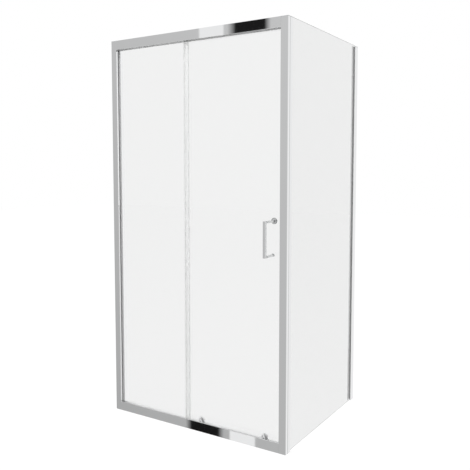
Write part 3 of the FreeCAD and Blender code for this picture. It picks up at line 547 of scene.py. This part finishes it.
front_glass = pane_glass(
    "clear_glass_front", "Y", tint=(0.892, 0.894, 0.893, 1), edge_tint=(0.80, 0.83, 0.82, 1)
)
side_glass = pane_glass(
    "clear_glass_side", "X", tint=(0.825, 0.827, 0.826, 1), edge_tint=(0.98, 0.985, 0.985, 1)
)
paint(front_glass, "fixed_glass", "door_glass")
paint(side_glass, "side_glass")
for pane in ("fixed_glass", "door_glass", "side_glass"):
    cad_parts[pane].visible_shadow = False

# ------------------------------------------------------------------ seals
# Clear flexible extrusions that snap on to the edges of the panes: the trim on the fixed
# pane, the wiping seal behind the door's edge and the magnet seal in front of it.

clear_seal = Finish("clear_flexible_seal")
drawn = clear_seal.along(UPRIGHT, 500.0)
clear_seal.surface(
    Base_Color=clear_seal.blend(drawn, (0.78, 0.79, 0.79, 1), (0.83, 0.835, 0.835, 1)),
    Roughness=0.22 + drawn * 0.12,
    Alpha=0.12 + drawn * 0.02,
    Normal=clear_seal.bump(drawn, 0.00003, 0.08),
)
paint(clear_seal, "fixed_edge_trim", "door_trailing_seal", "door_magnet_seal")

magnet_strip = moulded("magnet_strip", (0.05, 0.05, 0.05, 1), (0.035, 0.035, 0.035, 1), 0.5)
paint(magnet_strip, "door_magnet", "strike_magnet")

# ------------------------------------------------------------------ handle and knob
# A D handle cut from square bar, mitred and chrome plated, bolted through the glass with
# grey washers; the upper bolt also carries the round pull knob inside the shower.

bright_chrome = Finish("bright_chrome_plate")
polish = bright_chrome.along(EVEN, 220.0, 1.0)
bright_chrome.surface(
    Base_Color=(0.79, 0.795, 0.80, 1),
    Metallic=1.0,
    Roughness=0.012 + polish * 0.02,
    Normal=bright_chrome.bump(polish, 0.00001, 0.08),
)
paint(bright_chrome, "handle_bar")
clear_of_pane("handle_washers", "door", grey_plastic, "door_glass")

satin_knob = Finish("satin_knob_plate")
turned_marks = satin_knob.along((1.0, 0.02, 1.0), 900.0)
satin_knob.surface(
    Base_Color=satin_knob.blend(turned_marks, (0.50, 0.505, 0.51, 1), (0.58, 0.585, 0.59, 1)),
    Metallic=1.0,
    Roughness=0.16 + turned_marks * 0.08,
    Normal=satin_knob.bump(turned_marks, 0.00002, 0.15),
)
paint(satin_knob, "inner_knob")

# a ring of fine ridges round the knob's rim
QUARTER_TURN = math.pi / 2
rim_ridges = Pattern("rim_ridges", "Rim Radius", "Ridge Radius", "Ridge Length")
around = rim_ridges.node(
    "GeometryNodeMeshCircle",
    values={"Vertices": 60, "Radius": rim_ridges.size("Rim Radius")},
)
ridge = rim_ridges.node(
    "GeometryNodeMeshCylinder",
    values={
        "Vertices": 8,
        "Radius": rim_ridges.size("Ridge Radius"),
        "Depth": rim_ridges.size("Ridge Length"),
    },
)
low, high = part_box("inner_knob")
ridges_from_back = 0.0045
ring_inside_rim = 0.0001
knob_place = ((low[0] + high[0]) / 2, high[1] - ridges_from_back, (low[2] + high[2]) / 2)
ring = rim_ridges.placed(around, ridge)
rim_ridges.close(rim_ridges.moved(ring, knob_place, (QUARTER_TURN, 0.0, 0.0)), satin_knob)
ridges = rim_ridges.made(
    "inner_knob_ridges",
    Rim_Radius=(high[2] - low[2]) / 2 - ring_inside_rim,
    Ridge_Radius=0.0004,
    Ridge_Length=0.0048,
)
settle("inner_knob_ridges", ridges, "door", satin_knob)

# ------------------------------------------------------------------ upper rollers
# Two carriages hang the door from the rib of the head rail. Each is a moulded plate with
# a plated hub through the glass and two acetal wheels on steel axles.

for side in ("left", "right"):
    clear_of_pane(f"top_hub_{side}", "door", bright_chrome, "door_glass")
    clear_of_pane(f"top_carriage_{side}", "door", grey_plastic, "door_glass")

white_acetal = Finish("white_acetal")
sheen = white_acetal.along(EVEN, 900.0)
white_acetal.surface(
    Base_Color=white_acetal.blend(sheen, (0.70, 0.70, 0.68, 1), (0.78, 0.78, 0.76, 1)),
    Roughness=0.30 + sheen * 0.1,
    Subsurface_Weight=0.1,
    Subsurface_Scale=0.002,
    Normal=white_acetal.bump(sheen, 0.00003, 0.3),
)
WHEELS = [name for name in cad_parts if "_wheel_" in name]
paint(white_acetal, *WHEELS)

# the web of a wheel: a raised ring at the rim, one at the hub and six spokes between them
wheel_web = Pattern("wheel_web", "Rim Radius", "Hub Radius", "Web Height")
rim, hub = wheel_web.size("Rim Radius"), wheel_web.size("Hub Radius")
web_height = wheel_web.size("Web Height")
bead = wheel_web.curve("Circle", Resolution=10, Radius=web_height)
rings = [
    wheel_web.swept(wheel_web.curve("Circle", Resolution=40, Radius=radius), bead)
    for radius in (rim, hub)
]
spoke_points = wheel_web.node(
    "GeometryNodeMeshCircle", values={"Vertices": 6, "Radius": (rim + hub) * 0.5}
)
outward = wheel_web.node(
    "FunctionNodeAlignRotationToVector",
    {"axis": "X"},
    {"Vector": wheel_web.node("GeometryNodeInputPosition")},
)
spoke_width = 0.0011
spoke_size = wheel_web.vector(rim - hub, spoke_width, web_height * 2.0)
spoke = wheel_web.node("GeometryNodeMeshCube", values={"Size": spoke_size})
web = wheel_web.joined(*rings, wheel_web.placed(spoke_points, spoke, outward))
wheel_web.close(wheel_web.moved(web, turn=(QUARTER_TURN, 0.0, 0.0)), white_acetal)
web_inside_tread = 0.0016
for wheel in WHEELS:
    low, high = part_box(wheel)
    mesh = wheel_web.made(
        wheel + "_web",
        Rim_Radius=(high[2] - low[2]) / 2 - web_inside_tread,
        Hub_Radius=0.0052 if wheel.startswith("top") else 0.0038,
        Web_Height=0.0003,
    )
    back_centre = ((low[0] + high[0]) / 2, high[1], (low[2] + high[2]) / 2)
    mesh.transform(Matrix.Translation(back_centre))
    settle(wheel + "_web", mesh, wheel, white_acetal)

# ------------------------------------------------------------------ lower rollers
# At the foot of the door a round housing of pale plastic sits behind the glass, screwed to
# a cap in front. A sprung slider in it pulls a wheel up under the rail's hooked rib.

pale_plastic = moulded("pale_moulded_plastic", (0.88, 0.885, 0.89, 1), (0.84, 0.845, 0.85, 1), 0.28)

# two coil springs lie side by side under the cross bar of each slider
coil_springs = Pattern(
    "coil_springs", "Coil Radius", "Wire Radius", "Height", "Turns", "Spread"
)
wire_radius = coil_springs.size("Wire Radius")
helix = coil_springs.node(
    "GeometryNodeCurveSpiral",
    values={
        "Resolution": 18,
        "Rotations": coil_springs.size("Turns"),
        "Start Radius": coil_springs.size("Coil Radius"),
        "End Radius": coil_springs.size("Coil Radius"),
        "Height": coil_springs.size("Height") - wire_radius * 2.0,
    },
)
round_wire = coil_springs.curve("Circle", Resolution=8, Radius=wire_radius)
coil = coil_springs.swept(helix, round_wire, caps=True)
spread = coil_springs.size("Spread")
pair = coil_springs.node(
    "GeometryNodeMeshLine",
    values={
        "Count": 2,
        "Start Location": coil_springs.vector(spread * -0.5, z=wire_radius),
        "Offset": coil_springs.vector(spread),
    },
)
coil_springs.close(coil_springs.placed(pair, coil), stainless)

# low ribs across the back of the thumb tab keep a wet finger from slipping
thumb_ribs = Pattern("thumb_ribs", "Rib Length", "Rib Radius", "Pitch")
rib = thumb_ribs.node(
    "GeometryNodeMeshCylinder",
    values={
        "Vertices": 10,
        "Radius": thumb_ribs.size("Rib Radius"),
        "Depth": thumb_ribs.size("Rib Length"),
    },
)
rows = thumb_ribs.node(
    "GeometryNodeMeshLine",
    values={"Count": 3, "Offset": thumb_ribs.vector(z=thumb_ribs.size("Pitch"))},
)
thumb_ribs.close(thumb_ribs.placed(rows, rib, (0.0, QUARTER_TURN, 0.0)), pale_plastic)
TAB_BACK_Y = 0.0391
RIBS_BELOW_TOP = 0.0040

for side in ("left", "right"):
    paint(pale_plastic, f"release_slider_{side}")
    for moulding in ("bottom_housing", "bottom_cap"):
        clear_of_pane(f"{moulding}_{side}", "door", pale_plastic, "door_glass")
    low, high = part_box(f"release_springs_{side}")
    centre_x = (low[0] + high[0]) / 2
    mesh = coil_springs.made(
        f"release_coils_{side}",
        Coil_Radius=0.0014,
        Wire_Radius=0.0003,
        Height=high[2] - low[2],
        Turns=8.0,
        Spread=0.0128,
    )
    mesh.transform(Matrix.Translation((centre_x, (low[1] + high[1]) / 2, low[2])))
    coils = settle(
        f"release_coils_{side}",
        mesh,
        "door",
        stainless,
        replaced=(f"release_springs_{side}",),
        smooth=True,
    )
    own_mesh(coils)

    mesh = thumb_ribs.made(
        f"release_ribs_{side}", Rib_Length=0.0078, Rib_Radius=0.00035, Pitch=0.0014
    )
    tab_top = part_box(f"release_slider_{side}")[1][2]
    mesh.transform(Matrix.Translation((centre_x, TAB_BACK_Y, tab_top - RIBS_BELOW_TOP)))
    settle(f"release_ribs_{side}", mesh, f"release_{side}", pale_plastic)

# ------------------------------------------------------------------ floor, light and camera
# A plain white floor and studio: the enclosure stands on the floor, a broad soft lamp
# hangs above it, and the camera looks at the front and the right-hand side.

FLOOR_REACH = 14.0
floor_mesh = bpy.data.meshes.new("studio_floor")
corners = [(x, y, 0) for x, y in ((-1, -1), (1, -1), (1, 1), (-1, 1))]
floor_mesh.from_pydata([Vector(corner) * FLOOR_REACH for corner in corners], [], [(0, 1, 2, 3)])
floor = bpy.data.objects.new("studio_floor", floor_mesh)
bpy.context.scene.collection.objects.link(floor)
floor_finish = Finish("studio_floor_white")
rays = floor_finish.node("ShaderNodeLightPath")
camera_ray = rays.output("Is Camera Ray")
# the floor takes light and shadow, but shows mostly white to the camera and through glass
white_to_camera, white_through_glass = 0.82, 0.95
share = camera_ray * white_to_camera + rays.output("Is Transmission Ray") * white_through_glass
glow = 1.012 + camera_ray * 0.08
lit = floor_finish.node("ShaderNodeBsdfDiffuse", values={"Color": (0.85, 0.85, 0.85, 1)})
white = floor_finish.node("ShaderNodeEmission", values={"Color": (1, 1, 1, 1), "Strength": glow})
shown = floor_finish.node("ShaderNodeMixShader", values={0: share, 1: lit, 2: white})
floor_finish.node("ShaderNodeOutputMaterial", values={"Surface": shown})
floor_mesh.materials.append(floor_finish.material)
floor.visible_glossy = False

world = bpy.data.worlds.new("studio")
bpy.context.scene.world = world
world.use_nodes = True
studio = Board(world.node_tree)
studio.tree.nodes.clear()
direction = studio.node("ShaderNodeTexCoord", output="Generated")
heading = studio.node("ShaderNodeSeparateXYZ", values={"Vector": direction})
right, ahead, up = heading.output("X"), heading.output("Y"), heading.output("Z")
# slant and rise say where a ray meets an upright wall in front of or behind the enclosure
toward = abs(ahead) + 0.0001
slant = right / toward
rise = up / toward
in_front = ahead < 0.0


def strip(low, high, entry=0.004, leave=0.004, across=slant):
    """1 between two slants of a studio wall, with a soft edge of each width."""
    return ((across - low) / entry).clamped() * ((high - across) / leave).clamped()


def between(low, high):
    """1 for rays that meet the studio in front of the enclosure between two rises."""
    return (rise > low) * (rise < high) * in_front


# the polished metal mirrors walls that grow paler upwards and to the right; a dark and a
# pale card stand before them where the head rail looks, and another pair where the sill does
above, below = between(0.2560, 0.36), between(-0.66, -0.5160)
dark_above = strip(-0.6474, -0.5524, entry=0.0186, leave=0.0133)
dark_below = strip(-0.7521, -0.6564, entry=0.015, leave=0.0142)
dark_card = dark_above * above + dark_below * below
light_card = strip(-0.7157, -0.6540) * above + strip(-0.6448, -0.5820) * below
side_card = strip(0.72, 1.12, entry=0.06, leave=0.06) * (1.0 - in_front)
front_wall = (0.22 + rise * 0.155 + slant * 0.135).clamped()
front_wall = 0.48 + front_wall.maths("MINIMUM", front_wall, 0.52)
back_wall = 0.52 + strip(0.24, 1.12, entry=0.1, leave=0.1, across=abs(slant)) * 0.48
level = back_wall + in_front * (front_wall - back_wall)
mirrored = level * (1.0 - dark_card * 0.98)
mirrored = mirrored + light_card * (1.0 - level)
light_rays = studio.node("ShaderNodeLightPath")
glossy_ray = light_rays.output("Is Glossy Ray")
mirror_ray = glossy_ray * (1.0 - light_rays.output("Is Transmission Ray"))
diffuse_ray = light_rays.output("Is Diffuse Ray")
strength = 1.0 + mirror_ray * (mirrored - 1.0) + glossy_ray * side_card * 0.25
strength = strength - diffuse_ray * 0.25
backdrop = studio.node(
    "ShaderNodeBackground", values={"Color": (1, 1, 1, 1), "Strength": strength}
)
studio.node("ShaderNodeOutputWorld", values={"Surface": backdrop})

lamp_data = bpy.data.lights.new("soft_overhead_lamp", "AREA")
lamp_data.shape = "RECTANGLE"
lamp_data.size = 3.0
lamp_data.size_y = 2.0
lamp_data.energy = 60.0
lamp = bpy.data.objects.new("soft_overhead_lamp", lamp_data)
lamp.location = (-0.6, -1.6, 3.6)
aim = Vector((0.5, 0.4, 0.8)) - lamp.location
lamp.rotation_euler = aim.to_track_quat("-Z", "Y").to_euler()
lamp.visible_glossy = False
lamp.visible_camera = False
bpy.context.scene.collection.objects.link(lamp)

camera_data = bpy.data.cameras.new("photograph_camera")
camera_data.sensor_width = 36.0
camera_data.lens = 46.882
camera_data.shift_y = -0.0436
camera_data.clip_end = 60.0
camera = bpy.data.objects.new("photograph_camera", camera_data)
camera.location = (2.20368, -2.32750, 1.25457)
camera.rotation_euler = (math.radians(85.8206), 0.0, math.radians(32.2156))
bpy.context.scene.collection.objects.link(camera)
bpy.context.scene.camera = camera

bpy.context.scene.view_settings.view_transform = "Standard"
